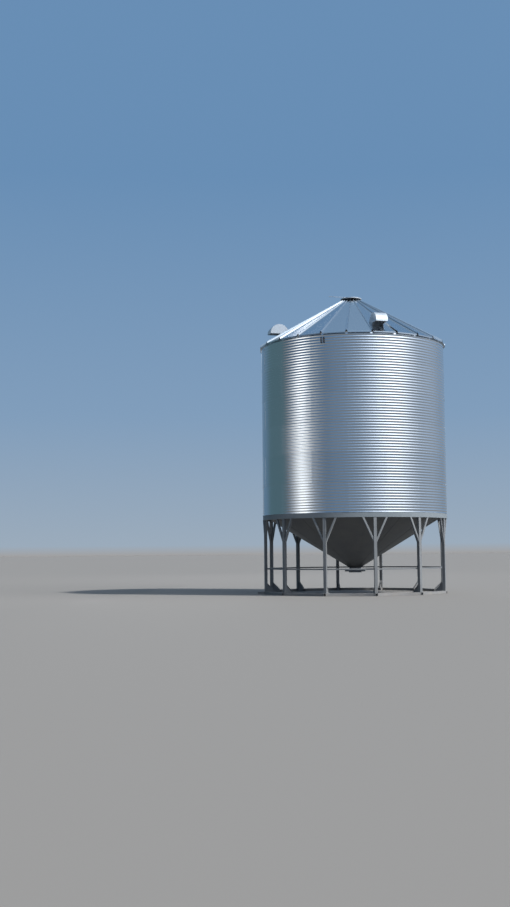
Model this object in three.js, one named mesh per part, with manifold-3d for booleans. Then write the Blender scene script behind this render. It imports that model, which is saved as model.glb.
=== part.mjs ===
// Hopper-bottom grain silo: corrugated steel wall, ribbed cone roof with three hooded vents,
// steel hopper on twelve legs, and a skid ring on the ground.
// Millimetres, +Z up, origin on the ground under the silo's axis.
// A bearing is an angle about the axis, from -Y towards +X. Repeated pieces are drawn at bearing 0,
// where outwards is -Y and x runs along the wall, and are then turned to their own bearings.
import * as THREE from "three";
import { mergeVertices } from "three/addons/utils/BufferGeometryUtils.js";
import Module from "manifold-3d";

// Driving dimensions
const WALL_RADIUS = 3622;
const WALL_THICKNESS = 12.7;
const TIER_HEIGHT = 1117.6;
const TIERS = 6;
const WALL_FACETS = 72;
const GAP = 0.3;

const LEGS = 12;
const FIRST_LEG_BEARING = 15;
const LEG_WIDTH = 114;
const LEG_DEPTH = 114;
const LEG_OUTER_RADIUS = 3617;
const BRACE_TOP_OFFSET = 440;
const BRACE_TOP_WIDTH = 74;
const BRACE_DROP = 920;
const BRACE_SETBACK = 19;
const BRACE_DEPTH = 76;
const GUSSET_REACH = 280;
const GUSSET_HEIGHT = 300;
const GUSSET_PLATE = 12;
const GUSSET_FLANGE_WIDTH = 70;
const GUSSET_FLANGE = 10;
const FOOT_PLATE = 12;

const SKID_TUBE = 102;
const SKID_OUTER_APOTHEM = 3530;
const STUB_OUTER_RADIUS = 3665;
const STUB_INNER_RADIUS = 3180;
const STUB_BORE = 84;
const TOW_LEG = 9;
const TOW_STUB_RADIUS = 3875;

const TIE_HEIGHT = 980;
const TIE_SIZE = 50;

const BAND_BOTTOM = 2875;
const BAND_HEIGHT = 185;
const BAND_PLATE = 12;
const BAND_FLANGE = 142;

const OUTLET_RADIUS = 230;
const CONE_BOTTOM = 1010;
const CONE_PLATE = 8;
const COLLAR_BOTTOM = 930;
const COLLAR_WALL = 8;
const COLLAR_FLANGE = 70;
const COLLAR_FACETS = 36;
const GATE_LENGTH = 780;
const GATE_WIDTH = 520;
const GATE_HEIGHT = 80;
const GATE_RAIL = 35;
const GATE_PLATE = 8;
const SPOUT_SIZE = 480;
const SPOUT_WALL = 10;
const SPOUT_HEIGHT = 40;

const ROOF_PANELS = 24;
const PANELS_PER_SECTION = 3;
const ROOF_SLOPE = THREE.MathUtils.degToRad(30);
const EAVE_RADIUS = 3700;
const EAVE_HEIGHT = 9747.5;
const ROOF_SHEET = 9;
const EAVE_LIP = 45;
const EAVE_LIP_SHEET = 10;
const RIB_BASE = 100;
const RIB_TOP = 30;
const RIB_HEIGHT = 64;
const RIB_VANISH = 4600;
const ROOF_INNER_RADIUS = 380;
const EAVE_ANGLE = 70;
const EAVE_ANGLE_PLATE = 10;

const VENT_SECTIONS = [0, 4, 6];
const FIRST_VENT_BEARING = 22.5;
const HOOD_RADIUS = 375;
const HOOD_CENTRE_RADIUS = 3060;
const HOOD_CENTRE_HEIGHT = 10200;
const HOOD_WIDTH = 470;
const HOOD_SHEET = 8;
const HOOD_STEPS = 20;
const THROAT_WIDTH = 360;
const THROAT_INNER_RADIUS = 2820;
const THROAT_OUTER_RADIUS = 3050;

const COLLAR_RING_RADIUS = 345;
const COLLAR_RING_WALL = 10;
const COLLAR_RING_FLANGE = 50;
const COLLAR_RING_EDGE = 6;
const LID_LIFT = 30;
const LID_RADIUS = 420;
const LID_RIM = 38;
const LID_CROWN = 40;
const LEVER_REACH = 860;
const LEVER_RISE = 85;
const LEVER_OFFSET = 250;
const LEVER_DEPTH = 26;
const LEVER_THICKNESS = 10;
const PEAK_FACETS = 36;

const BRACKET_BEARING = -14.3;
const BRACKET_WIDTH = 130;
const BRACKET_HEIGHT = 220;
const BRACKET_TOP = 9590;
const BRACKET_BAR = 28;
const BRACKET_STANDOFF = 60;

// Sizes that follow from them
const WALL_OUTER = WALL_RADIUS + WALL_THICKNESS / 2;
const WALL_INNER = WALL_RADIUS - WALL_THICKNESS / 2;
const BAND_TOP = BAND_BOTTOM + BAND_HEIGHT;
const WALL_TOP = BAND_TOP + TIERS * TIER_HEIGHT;
const LEG_INNER_RADIUS = LEG_OUTER_RADIUS - LEG_DEPTH;
const PANEL_ANGLE = 360 / ROOF_PANELS;
const ROOF_RISE = Math.tan(ROOF_SLOPE);
const ROOF_DROP = ROOF_SHEET / Math.cos(ROOF_SLOPE);

const steel = (name, color, roughness, metalness) =>
  new THREE.MeshStandardMaterial({ name, color, roughness, metalness });
const galvanised = steel("galvanised", 0xb9c3cc, 0.35, 0.9);
const roofSheet = steel("roof_sheet", 0xc6ccd2, 0.4, 0.85);
const greyPaint = steel("grey_paint", 0x8f969b, 0.55, 0.1);
const conePaint = steel("cone_paint", 0x7d8285, 0.6, 0.1);

const silo = new THREE.Group();

function place(name, geometry, material, bearing = 0) {
  const mesh = new THREE.Mesh(geometry, material);
  mesh.name = name;
  mesh.rotation.z = THREE.MathUtils.degToRad(bearing);
  silo.add(mesh);
}

const wasm = await Module();
wasm.setup();

function toSolid(geometry) {
  const bare = geometry.index ? geometry.clone() : mergeVertices(geometry);
  bare.deleteAttribute("normal");
  bare.deleteAttribute("uv");
  const merged = mergeVertices(bare, 1e-3);
  return new wasm.Manifold(
    new wasm.Mesh({
      numProp: 3,
      vertProperties: merged.attributes.position.array,
      triVerts: new Uint32Array(merged.index.array),
    }),
  );
}

function fromSolid(solid) {
  const { vertProperties, triVerts } = solid.getMesh();
  return new THREE.BufferGeometry()
    .setAttribute("position", new THREE.BufferAttribute(vertProperties, 3))
    .setIndex(new THREE.BufferAttribute(triVerts, 1));
}

const join = (geometries) => geometries.map(toSolid).reduce((all, next) => all.add(next));

function box(x0, x1, y0, y1, z0, z1) {
  return new THREE.BoxGeometry(x1 - x0, y1 - y0, z1 - z0).translate(
    (x0 + x1) / 2,
    (y0 + y1) / 2,
    (z0 + z1) / 2,
  );
}

const X = new THREE.Vector3(1, 0, 0);
const Y = new THREE.Vector3(0, 1, 0);
const Z = new THREE.Vector3(0, 0, 1);
const outline = (points) => new THREE.Shape(points.map(([a, b]) => new THREE.Vector2(a, b)));

// An outline in x and z, made thick along y
function plateAlongWall(points, y0, y1) {
  const turn = new THREE.Matrix4().makeBasis(X, Z, Y.clone().negate());
  return new THREE.ExtrudeGeometry(outline(points), { depth: y1 - y0, bevelEnabled: false })
    .applyMatrix4(turn)
    .translate(0, y1, 0);
}

// An outline in radius and z at bearing 0, made thick along x about the middle
function plateAcrossWall(points, thickness) {
  const turn = new THREE.Matrix4().makeBasis(Y, Z, X);
  const turned = points.map(([radius, z]) => [-radius, z]);
  return new THREE.ExtrudeGeometry(outline(turned), { depth: thickness, bevelEnabled: false })
    .applyMatrix4(turn)
    .translate(-thickness / 2, 0, 0);
}

// A closed profile of [radius, z] points, anticlockwise, turned about the axis
function ring(profile, facets) {
  const points = [...profile, profile[0]].map(([radius, z]) => new THREE.Vector2(radius, z));
  return new THREE.LatheGeometry(points, facets).rotateX(Math.PI / 2);
}

// The same for a profile that starts and ends on the axis
function turned(profile, facets) {
  const points = profile.map(([radius, z]) => new THREE.Vector2(radius, z));
  return new THREE.LatheGeometry(points, facets).rotateX(Math.PI / 2);
}

function regularRing(vertexRadius, sides, firstBearing) {
  return Array.from({ length: sides }, (_, i) => {
    const bearing = THREE.MathUtils.degToRad(firstBearing + (360 / sides) * i);
    return [vertexRadius * Math.sin(bearing), -vertexRadius * Math.cos(bearing)];
  });
}

// Skid ring: straight tubes between the legs, and under each leg a radial tube with open ends, one of
// them longer for towing
function skidRing() {
  const halfTube = (SKID_OUTER_APOTHEM - SKID_TUBE) * Math.tan(Math.PI / LEGS);
  const bearings = Array.from({ length: LEGS }, (_, i) => (360 / LEGS) * i);
  const turnedTo = (geometry, bearing) => geometry.rotateZ(THREE.MathUtils.degToRad(bearing));
  const tubes = bearings.map((bearing) => {
    const inner = SKID_TUBE - SKID_OUTER_APOTHEM;
    return turnedTo(box(-halfTube, halfTube, -SKID_OUTER_APOTHEM, inner, 0, SKID_TUBE), bearing);
  });
  const half = SKID_TUBE / 2;
  const stubEnd = (legIndex) => (legIndex === TOW_LEG ? TOW_STUB_RADIUS : STUB_OUTER_RADIUS);
  const stubs = bearings.map((bearing, i) =>
    turnedTo(
      box(-half, half, -stubEnd(i), -STUB_INNER_RADIUS, 0, SKID_TUBE),
      bearing + FIRST_LEG_BEARING,
    ),
  );
  const halfBore = STUB_BORE / 2;
  const boreBottom = half - halfBore;
  const boreTop = half + halfBore;
  const bores = bearings.map((bearing, i) =>
    turnedTo(
      box(-halfBore, halfBore, -stubEnd(i) - 1, 1 - STUB_INNER_RADIUS, boreBottom, boreTop),
      bearing + FIRST_LEG_BEARING,
    ),
  );
  return fromSolid(join([...tubes, ...stubs]).subtract(join(bores)));
}

// Leg: post with two knee braces up to the band, and a flanged gusset inwards on its foot plate
function leg() {
  const footTop = SKID_TUBE + FOOT_PLATE;
  const halfPost = LEG_WIDTH / 2;
  const post = box(-halfPost, halfPost, -LEG_OUTER_RADIUS, -LEG_INNER_RADIUS, SKID_TUBE, BAND_BOTTOM);
  const gussetToe = LEG_INNER_RADIUS - GUSSET_REACH;
  const foot = box(-halfPost, halfPost, -LEG_OUTER_RADIUS, -gussetToe, SKID_TUBE, footTop);

  const outerTop = BRACE_TOP_OFFSET + BRACE_TOP_WIDTH / 2;
  const innerTop = BRACE_TOP_OFFSET - BRACE_TOP_WIDTH / 2;
  const steepness = BRACE_DROP / (outerTop - halfPost);
  const root = halfPost / 2;
  const braceOutline = (side) => [
    [side * innerTop, BAND_BOTTOM],
    [side * outerTop, BAND_BOTTOM],
    [side * root, BAND_BOTTOM - (outerTop - root) * steepness],
    [side * root, BAND_BOTTOM - (innerTop - root) * steepness],
  ];
  const front = -LEG_OUTER_RADIUS + BRACE_SETBACK;
  const braces = [1, -1].map((side) =>
    plateAlongWall(braceOutline(side), front, front + BRACE_DEPTH),
  );

  const heel = LEG_INNER_RADIUS + LEG_DEPTH / 2;
  const toeHeight = 30;
  const plate = plateAcrossWall(
    [
      [heel, footTop - FOOT_PLATE / 2],
      [heel, footTop + GUSSET_HEIGHT],
      [LEG_INNER_RADIUS, footTop + GUSSET_HEIGHT],
      [gussetToe, footTop + toeHeight],
      [gussetToe, footTop - FOOT_PLATE / 2],
    ],
    GUSSET_PLATE,
  );
  const slope = new THREE.Vector2(GUSSET_REACH, GUSSET_HEIGHT - toeHeight).normalize();
  const rise = GUSSET_FLANGE / slope.x;
  const into = 20;
  const flange = plateAcrossWall(
    [
      [gussetToe, footTop + toeHeight],
      [LEG_INNER_RADIUS + into, footTop + GUSSET_HEIGHT + (into * slope.y) / slope.x],
      [LEG_INNER_RADIUS + into, footTop + GUSSET_HEIGHT - rise + (into * slope.y) / slope.x],
      [gussetToe, footTop + toeHeight - rise],
    ],
    GUSSET_FLANGE_WIDTH,
  );
  return fromSolid(join([post, foot, ...braces, plate, flange]));
}

// Tie ring: bars from leg to leg, with a short flat against each leg's inner face
function tieRing() {
  const ringOutline = (inset) => {
    const reach = LEG_INNER_RADIUS - GAP - inset;
    const half = LEG_WIDTH / 2;
    const points = [];
    for (let i = 0; i < LEGS; i++) {
      const bearing = THREE.MathUtils.degToRad(FIRST_LEG_BEARING + (360 / LEGS) * i);
      for (const side of [-half, half]) {
        points.push([
          reach * Math.sin(bearing) + side * Math.cos(bearing),
          -reach * Math.cos(bearing) + side * Math.sin(bearing),
        ]);
      }
    }
    return points;
  };
  const shape = outline(ringOutline(0));
  shape.holes.push(outline(ringOutline(TIE_SIZE)));
  return new THREE.ExtrudeGeometry(shape, { depth: TIE_SIZE, bevelEnabled: false }).translate(
    0,
    0,
    TIE_HEIGHT - TIE_SIZE / 2,
  );
}

// Ring beam that carries the wall: a plate with a wide bottom flange over the legs
const bandProfile = () => [
  [WALL_OUTER - BAND_FLANGE, BAND_BOTTOM],
  [WALL_OUTER, BAND_BOTTOM],
  [WALL_OUTER, BAND_TOP],
  [WALL_OUTER - BAND_PLATE, BAND_TOP],
  [WALL_OUTER - BAND_PLATE, BAND_BOTTOM + BAND_PLATE],
  [WALL_OUTER - BAND_FLANGE, BAND_BOTTOM + BAND_PLATE],
];

const coneProfile = () => {
  const rim = WALL_OUTER - BAND_PLATE - GAP;
  const slope = (BAND_TOP - CONE_BOTTOM) / (rim - OUTLET_RADIUS);
  const lift = CONE_PLATE * Math.hypot(1, slope);
  return [
    [OUTLET_RADIUS, CONE_BOTTOM],
    [rim, BAND_TOP],
    [rim - lift / slope, BAND_TOP],
    [OUTLET_RADIUS, CONE_BOTTOM + lift],
  ];
};

const outletCollarProfile = () => {
  const inner = OUTLET_RADIUS - COLLAR_WALL;
  return [
    [inner, COLLAR_BOTTOM],
    [OUTLET_RADIUS + COLLAR_FLANGE, COLLAR_BOTTOM],
    [OUTLET_RADIUS + COLLAR_FLANGE, COLLAR_BOTTOM + COLLAR_WALL],
    [OUTLET_RADIUS, COLLAR_BOTTOM + COLLAR_WALL],
    [OUTLET_RADIUS, CONE_BOTTOM - GAP],
    [inner, CONE_BOTTOM - GAP],
  ];
};

const GATE_TOP = COLLAR_BOTTOM - GAP;
const GATE_BOTTOM = GATE_TOP - GATE_HEIGHT;
const SLOT_FLOOR = GATE_BOTTOM + GATE_HEIGHT / 3;
const SLOT_HALF_WIDTH = GATE_WIDTH / 2 - GATE_RAIL;
const SLOT_END = SPOUT_SIZE / 2 + GATE_RAIL;

// Gate frame: two rails and an end bar, slotted for the plate and open over the spout
function gateFrame() {
  const halfLength = GATE_LENGTH / 2;
  const halfOpening = OUTLET_RADIUS - COLLAR_WALL;
  const body = toSolid(
    box(-halfLength, halfLength, -GATE_WIDTH / 2, GATE_WIDTH / 2, GATE_BOTTOM, GATE_TOP),
  );
  const slotTop = SLOT_FLOOR + 2 * GATE_PLATE;
  const slot = box(-halfLength - 1, SLOT_END, -SLOT_HALF_WIDTH, SLOT_HALF_WIDTH, SLOT_FLOOR, slotTop);
  const way = box(
    -halfOpening,
    halfOpening,
    -halfOpening,
    halfOpening,
    GATE_BOTTOM - 1,
    GATE_TOP + 1,
  );
  return fromSolid(body.subtract(join([slot, way])));
}

const gatePlate = () =>
  box(
    -GATE_LENGTH / 2,
    SLOT_END - 2,
    2 - SLOT_HALF_WIDTH,
    SLOT_HALF_WIDTH - 2,
    SLOT_FLOOR + GAP,
    SLOT_FLOOR + GAP + GATE_PLATE,
  );

function spout() {
  const half = SPOUT_SIZE / 2;
  const inner = half - SPOUT_WALL;
  const top = GATE_BOTTOM - GAP;
  const body = toSolid(box(-half, half, -half, half, top - SPOUT_HEIGHT, top));
  const way = toSolid(box(-inner, inner, -inner, inner, top - SPOUT_HEIGHT - 1, top + 1));
  return fromSolid(body.subtract(way));
}

const wallProfile = (tier) => {
  const bottom = BAND_TOP + tier * TIER_HEIGHT;
  return [
    [WALL_INNER, bottom],
    [WALL_OUTER, bottom],
    [WALL_OUTER, bottom + TIER_HEIGHT],
    [WALL_INNER, bottom + TIER_HEIGHT],
  ];
};

// Angle inside the wall's top edge, which the roof panels are bolted to
const eaveAngleProfile = () => {
  const outer = WALL_INNER - GAP;
  return [
    [outer - EAVE_ANGLE_PLATE, WALL_TOP - EAVE_ANGLE],
    [outer, WALL_TOP - EAVE_ANGLE],
    [outer, WALL_TOP],
    [outer - EAVE_ANGLE, WALL_TOP],
    [outer - EAVE_ANGLE, WALL_TOP - EAVE_ANGLE_PLATE],
    [outer - EAVE_ANGLE_PLATE, WALL_TOP - EAVE_ANGLE_PLATE],
  ];
};

// The ribs taper: their edges would meet at a point beyond the axis. Height of a panel's middle line.
const roofHeight = (ribRadius) => EAVE_HEIGHT + (EAVE_RADIUS - ribRadius) * ROOF_RISE;
const ribScale = (ribRadius) => (ribRadius + RIB_VANISH) / (EAVE_RADIUS + RIB_VANISH);
const panelHeight = (radius) => {
  const half = THREE.MathUtils.degToRad(PANEL_ANGLE / 2);
  const lean = ((RIB_BASE / 2) * Math.sin(half)) / (EAVE_RADIUS + RIB_VANISH);
  return roofHeight((radius - lean * RIB_VANISH) / (Math.cos(half) + lean));
};

// One cross-section of a roof section at a radius along its ribs: six points to a rib, anticlockwise
// from the foot of its left side, and two where the next section's first rib starts
function roofLoop(radius, drop) {
  const scale = ribScale(radius);
  const point = (rib, across, up) => {
    const bearing = THREE.MathUtils.degToRad(rib * PANEL_ANGLE);
    const along = across * scale;
    return new THREE.Vector3(
      radius * Math.sin(bearing) + along * Math.cos(bearing),
      -radius * Math.cos(bearing) + along * Math.sin(bearing),
      roofHeight(radius) + up,
    );
  };
  const ribTop = RIB_HEIGHT * scale;
  const topHalf = RIB_TOP / 2;
  const above = [];
  const below = [];
  for (let rib = 0; rib < PANELS_PER_SECTION; rib++) {
    const isLast = rib === PANELS_PER_SECTION - 1;
    const left = -RIB_BASE / 2;
    const right = RIB_BASE / 2 + (isLast ? GAP : 0);
    above.push(point(rib, left, 0), point(rib, -topHalf, ribTop));
    above.push(point(rib, topHalf, ribTop), point(rib, right, 0));
    below.push(point(rib, left, -drop), point(rib, right, -drop));
  }
  const end = -RIB_BASE / 2 - GAP;
  above.push(point(PANELS_PER_SECTION, end, 0));
  below.push(point(PANELS_PER_SECTION, end, -drop));
  return [...above, ...below.reverse()];
}

// The flat facets of a roof section's end, as indices into its loop
function roofEnd() {
  const above = 4 * PANELS_PER_SECTION + 1;
  const count = above + 2 * PANELS_PER_SECTION + 1;
  const facets = [];
  for (let rib = 0; rib < PANELS_PER_SECTION; rib++) {
    const [a, b, c, d, next] = [0, 1, 2, 3, 4].map((i) => 4 * rib + i);
    const [left, right, end] = [1, 2, 3].map((i) => count - 2 * rib - i);
    facets.push([a, c, b], [a, d, c], [a, right, d], [a, left, right]);
    facets.push([d, end, next], [d, right, end]);
  }
  return facets;
}

// A closed skin over loops of equal length, with its two ends filled by the same facets
function skin(loops, ends) {
  const count = loops[0].length;
  const positions = loops.flat().flatMap((p) => [p.x, p.y, p.z]);
  const index = [];
  for (let k = 0; k + 1 < loops.length; k++) {
    for (let i = 0; i < count; i++) {
      const j = (i + 1) % count;
      const [a, b, c, d] = [k * count + i, k * count + j, (k + 1) * count + j, (k + 1) * count + i];
      index.push(a, d, b, b, d, c);
    }
  }
  const last = (loops.length - 1) * count;
  for (const [a, b, c] of ends) index.push(a, c, b, last + a, last + b, last + c);
  const geometry = new THREE.BufferGeometry();
  geometry.setAttribute("position", new THREE.Float32BufferAttribute(positions, 3));
  return geometry.setIndex(index);
}

// Roof section: flat panels between raised ribs, with a lip turned down at the eave
function roofSection(hasVent) {
  const lipInner = EAVE_RADIUS - EAVE_LIP_SHEET;
  const loops = [
    roofLoop(ROOF_INNER_RADIUS, ROOF_DROP),
    roofLoop(lipInner - 2, ROOF_DROP),
    roofLoop(lipInner, ROOF_DROP + EAVE_LIP),
    roofLoop(EAVE_RADIUS, ROOF_DROP + EAVE_LIP),
  ];
  const geometry = skin(loops, roofEnd());
  if (!hasVent) return geometry;
  const throat = box(
    -THROAT_WIDTH / 2,
    THROAT_WIDTH / 2,
    -THROAT_OUTER_RADIUS,
    -THROAT_INNER_RADIUS,
    EAVE_HEIGHT,
    HOOD_CENTRE_HEIGHT + HOOD_RADIUS,
  ).rotateZ(THREE.MathUtils.degToRad(FIRST_VENT_BEARING));
  return fromSolid(toSolid(geometry).subtract(toSolid(throat)));
}

// Vent hood: part of a drum lying across the slope, with closed cheeks and its mouth facing down
function ventHood() {
  const arc = (radius, from, to) =>
    Array.from({ length: HOOD_STEPS + 1 }, (_, i) => {
      const angle = from + ((to - from) * i) / HOOD_STEPS;
      return [
        HOOD_CENTRE_RADIUS + radius * Math.cos(angle),
        HOOD_CENTRE_HEIGHT + radius * Math.sin(angle),
      ];
    });
  const behind = THREE.MathUtils.degToRad(200);
  const drum = toSolid(
    plateAcrossWall([...arc(HOOD_RADIUS, 0, behind), [HOOD_CENTRE_RADIUS, HOOD_CENTRE_HEIGHT]], HOOD_WIDTH),
  );
  const innerRadius = HOOD_RADIUS - HOOD_SHEET;
  const hollow = toSolid(
    plateAcrossWall(
      [
        ...arc(innerRadius, 0, behind),
        [HOOD_CENTRE_RADIUS - innerRadius, HOOD_CENTRE_HEIGHT - HOOD_RADIUS],
        [HOOD_CENTRE_RADIUS + innerRadius, HOOD_CENTRE_HEIGHT - HOOD_RADIUS],
      ],
      HOOD_WIDTH - 2 * HOOD_SHEET,
    ),
  );
  const near = HOOD_CENTRE_RADIUS - 2 * HOOD_RADIUS;
  const far = HOOD_CENTRE_RADIUS + 2 * HOOD_RADIUS;
  const roof = toSolid(
    plateAcrossWall(
      [
        [near, panelHeight(near) + GAP],
        [near, EAVE_HEIGHT - HOOD_RADIUS],
        [far, EAVE_HEIGHT - HOOD_RADIUS],
        [far, panelHeight(far) + GAP],
      ],
      2 * HOOD_WIDTH,
    ),
  );
  return fromSolid(drum.subtract(hollow).subtract(roof));
}

// Fill opening: a short collar that hangs by its flange on the ribs' upper ends, and the lid on it
const RIB_END_TOP = roofHeight(ROOF_INNER_RADIUS) + RIB_HEIGHT * ribScale(ROOF_INNER_RADIUS);
const LID_BOTTOM = RIB_END_TOP + LID_LIFT;
const fillCollarProfile = () => {
  const inner = COLLAR_RING_RADIUS - COLLAR_RING_WALL;
  const bottom = roofHeight(ROOF_INNER_RADIUS) - ROOF_DROP;
  return [
    [inner, bottom],
    [COLLAR_RING_RADIUS, bottom],
    [COLLAR_RING_RADIUS, RIB_END_TOP],
    [COLLAR_RING_RADIUS + COLLAR_RING_FLANGE, RIB_END_TOP],
    [COLLAR_RING_RADIUS + COLLAR_RING_FLANGE, RIB_END_TOP + COLLAR_RING_EDGE],
    [COLLAR_RING_RADIUS, RIB_END_TOP + COLLAR_RING_EDGE],
    [COLLAR_RING_RADIUS, LID_BOTTOM - GAP],
    [inner, LID_BOTTOM - GAP],
  ];
};

// The lid, and across its crown a flat lever that opens it
function lid() {
  const rimTop = LID_BOTTOM + LID_RIM;
  const profile = [
    [0, LID_BOTTOM],
    [LID_RADIUS, LID_BOTTOM],
    [LID_RADIUS, rimTop],
    [LID_RADIUS * 0.8, rimTop + LID_CROWN * 0.4],
    [LID_RADIUS * 0.3, rimTop + LID_CROWN],
    [0, rimTop + LID_CROWN],
  ];
  const lever = [
    [-LEVER_REACH, rimTop + LEVER_RISE - LEVER_DEPTH / 2],
    [0, rimTop - LEVER_DEPTH / 2],
    [0, rimTop + LEVER_DEPTH / 2],
    [-LEVER_REACH, rimTop + LEVER_RISE + LEVER_DEPTH / 2],
  ];
  const bar = plateAlongWall(lever, -LEVER_OFFSET, LEVER_THICKNESS - LEVER_OFFSET);
  return fromSolid(join([turned(profile, PEAK_FACETS), bar]));
}

// Bracket under the eave: two upright bars on a back plate
function eaveBracket() {
  const half = BRACKET_WIDTH / 2;
  const bottom = BRACKET_TOP - BRACKET_HEIGHT;
  const face = -WALL_OUTER - GAP;
  const front = face - BRACKET_STANDOFF;
  const plate = 6;
  const back = box(-half, half, face - plate, face, bottom + BRACKET_BAR, BRACKET_TOP - BRACKET_BAR);
  const bars = [-half, half - BRACKET_BAR].map((x) =>
    box(x, x + BRACKET_BAR, front, face, bottom, BRACKET_TOP),
  );
  return fromSolid(join([back, ...bars]));
}

place("skid_ring", skidRing(), greyPaint);
const legShape = leg();
for (let i = 0; i < LEGS; i++) {
  const name = `leg_${String(i + 1).padStart(2, "0")}`;
  place(name, legShape.clone(), greyPaint, FIRST_LEG_BEARING + (360 / LEGS) * i);
}
place("tie_ring", tieRing(), greyPaint);
place("hopper_band", ring(bandProfile(), WALL_FACETS), greyPaint);
place("hopper_cone", ring(coneProfile(), WALL_FACETS), conePaint);
place("outlet_collar", ring(outletCollarProfile(), COLLAR_FACETS), conePaint);
place("gate_frame", gateFrame(), greyPaint);
place("gate_plate", gatePlate(), galvanised);
place("outlet_spout", spout(), greyPaint);
for (let tier = 0; tier < TIERS; tier++) {
  place(`wall_tier_${tier + 1}`, ring(wallProfile(tier), WALL_FACETS), galvanised);
}
place("eave_angle", ring(eaveAngleProfile(), WALL_FACETS), galvanised);
const sections = ROOF_PANELS / PANELS_PER_SECTION;
for (let i = 0; i < sections; i++) {
  const hasVent = VENT_SECTIONS.includes(i);
  place(`roof_section_${i + 1}`, roofSection(hasVent), roofSheet, (360 / sections) * i);
}
const hood = ventHood();
VENT_SECTIONS.forEach((section, i) => {
  const bearing = FIRST_VENT_BEARING + (360 / sections) * section;
  place(`roof_vent_${i + 1}`, hood.clone(), galvanised, bearing);
});
place("fill_collar", ring(fillCollarProfile(), PEAK_FACETS), galvanised);
place("fill_lid", lid(), galvanised);
place("eave_bracket", eaveBracket(), galvanised, BRACKET_BEARING);

export default silo;
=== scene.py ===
"""A hopper-bottom grain silo: corrugated galvanised wall, ribbed roof with vents, painted stand."""

import math

import bmesh
import bpy
from mathutils import Matrix, Vector


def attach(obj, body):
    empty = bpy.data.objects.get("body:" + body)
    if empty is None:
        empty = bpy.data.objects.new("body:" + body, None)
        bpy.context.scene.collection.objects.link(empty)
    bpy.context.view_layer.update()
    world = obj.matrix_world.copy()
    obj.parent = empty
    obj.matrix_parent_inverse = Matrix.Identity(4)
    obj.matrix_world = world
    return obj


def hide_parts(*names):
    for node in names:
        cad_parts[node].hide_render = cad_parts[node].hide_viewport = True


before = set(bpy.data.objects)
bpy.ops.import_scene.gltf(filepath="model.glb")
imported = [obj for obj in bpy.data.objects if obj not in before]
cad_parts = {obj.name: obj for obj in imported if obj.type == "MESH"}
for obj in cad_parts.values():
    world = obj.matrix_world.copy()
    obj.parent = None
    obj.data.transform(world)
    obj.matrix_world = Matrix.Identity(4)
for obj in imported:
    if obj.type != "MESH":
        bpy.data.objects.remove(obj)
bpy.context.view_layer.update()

# Sizes in metres, and counts

WALL_RADIUS = 3.622
WALL_BOTTOM = 3.06
WAVE_PITCH = 0.1016
WAVE_DEPTH = 0.0127
WAVES = 11
WAVE_STEPS = 10
TIERS = 6
TIER_HEIGHT = WAVE_PITCH * WAVES
SHEETS = 8
SHEET_STEPS = 18
SHEET_LAP = 0.0016
SHEET_THICKNESS = 0.0018
SHEET_DENT = 0.0018
# A share of a sheet's width, so that each column of the grid falls on its own sheet
SEAM_GAP = 0.001
GRID_JOIN = 0.0001
# From a sheet's end back to its bolts, in radians
BOLTS_BACK = 0.012
LAP_BOLTS = 96

PANELS = 24
SECTIONS = 8
PANEL_STEPS = 12
EAVE_RADIUS = 3.7
SHEET_EDGE = 3.6955
EAVE_HEIGHT = 9.7475
ROOF_RISE = math.tan(math.radians(30))
ROOF_INNER = 0.38
ROOF_THICKNESS = 0.0016
RIB_VANISH = 4.6
EAVE_LIP = 0.045
LIP_FOLD = 0.006
# Across and above the pan, from the steep left flank to the long right one
RIB_SHAPE = [
    (-0.045, 0.0),
    (-0.041, 0.003),
    (-0.021, 0.058),
    (-0.016, 0.062),
    (0.008, 0.062),
    (0.013, 0.058),
    (0.040, 0.016),
    (0.048, 0.0),
]

HOOD_OUT = 3.06
HOOD_HEIGHT = 10.2
HOOD_DRUM = 0.375
HOOD_HALF = 0.235
# In degrees to the right of the front
VENT_BEARINGS = [22.5, 202.5, 292.5]
RIVETS = 12
SCREEN_WIRE = 0.0012
BRACKET_BEARING = math.radians(-14.3)
# The bracket is zinc up to here on both sides of its middle, and near black beyond, as painted
# shade under the eave
BRACKET_BARS = 0.0365
LEVER_GRIP = [(-0.86, -0.262, 11.853), (-0.86, -0.228, 11.853)]
# Outwards and up along a clamp of the lid, from its hinge to its hook
CLAMP = [(0.425, 11.738), (0.425, 11.772), (0.385, 11.779)]

LEGS = 12
FIRST_LEG = math.radians(15)
BAND_BOTTOM = 2.875
POST_HALF = 0.057
POST_OUTER = 3.617
POST_INNER = 3.503
FOOT_TOP = 0.114
BRACE_TOP = (0.403, 0.477)
BRACE_FACES = (0.019, 0.095)
BRACE_FOOT = (1.955, 2.117)
GUSSET_HALF = 0.006
GUSSET_REACH = 0.28
GUSSET_TOP = 0.41
WELD = 0.004
SEAMS = 16

SAME_POINT = 0.00005
BEVEL_ANGLE = math.radians(30)
CRISP_ANGLE = math.radians(24)
FOLD_ANGLE = math.radians(50)


class Value:
    """A socket of a node tree that takes part in plain arithmetic."""

    def __init__(self, tree, socket):
        self.tree = tree
        self.socket = socket

    def work(self, operation, *others):
        """A Math node on this value and others."""
        return self.tree.add("ShaderNodeMath", {"operation": operation}, [self, *others])

    def __add__(self, other):
        return self.work("ADD", other)

    def __sub__(self, other):
        return self.work("SUBTRACT", other)

    def __mul__(self, other):
        return self.work("MULTIPLY", other)

    def __truediv__(self, other):
        return self.work("DIVIDE", other)

    def __mod__(self, other):
        return self.work("FLOORED_MODULO", other)

    def __pow__(self, other):
        return self.work("POWER", other)

    def __gt__(self, other):
        return self.work("GREATER_THAN", other)

    def __neg__(self):
        return self * -1

    def __radd__(self, other):
        return self + other

    def __rmul__(self, other):
        return self * other

    def __rsub__(self, other):
        return self.tree.add("ShaderNodeMath", {"operation": "SUBTRACT"}, [other, self])


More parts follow.
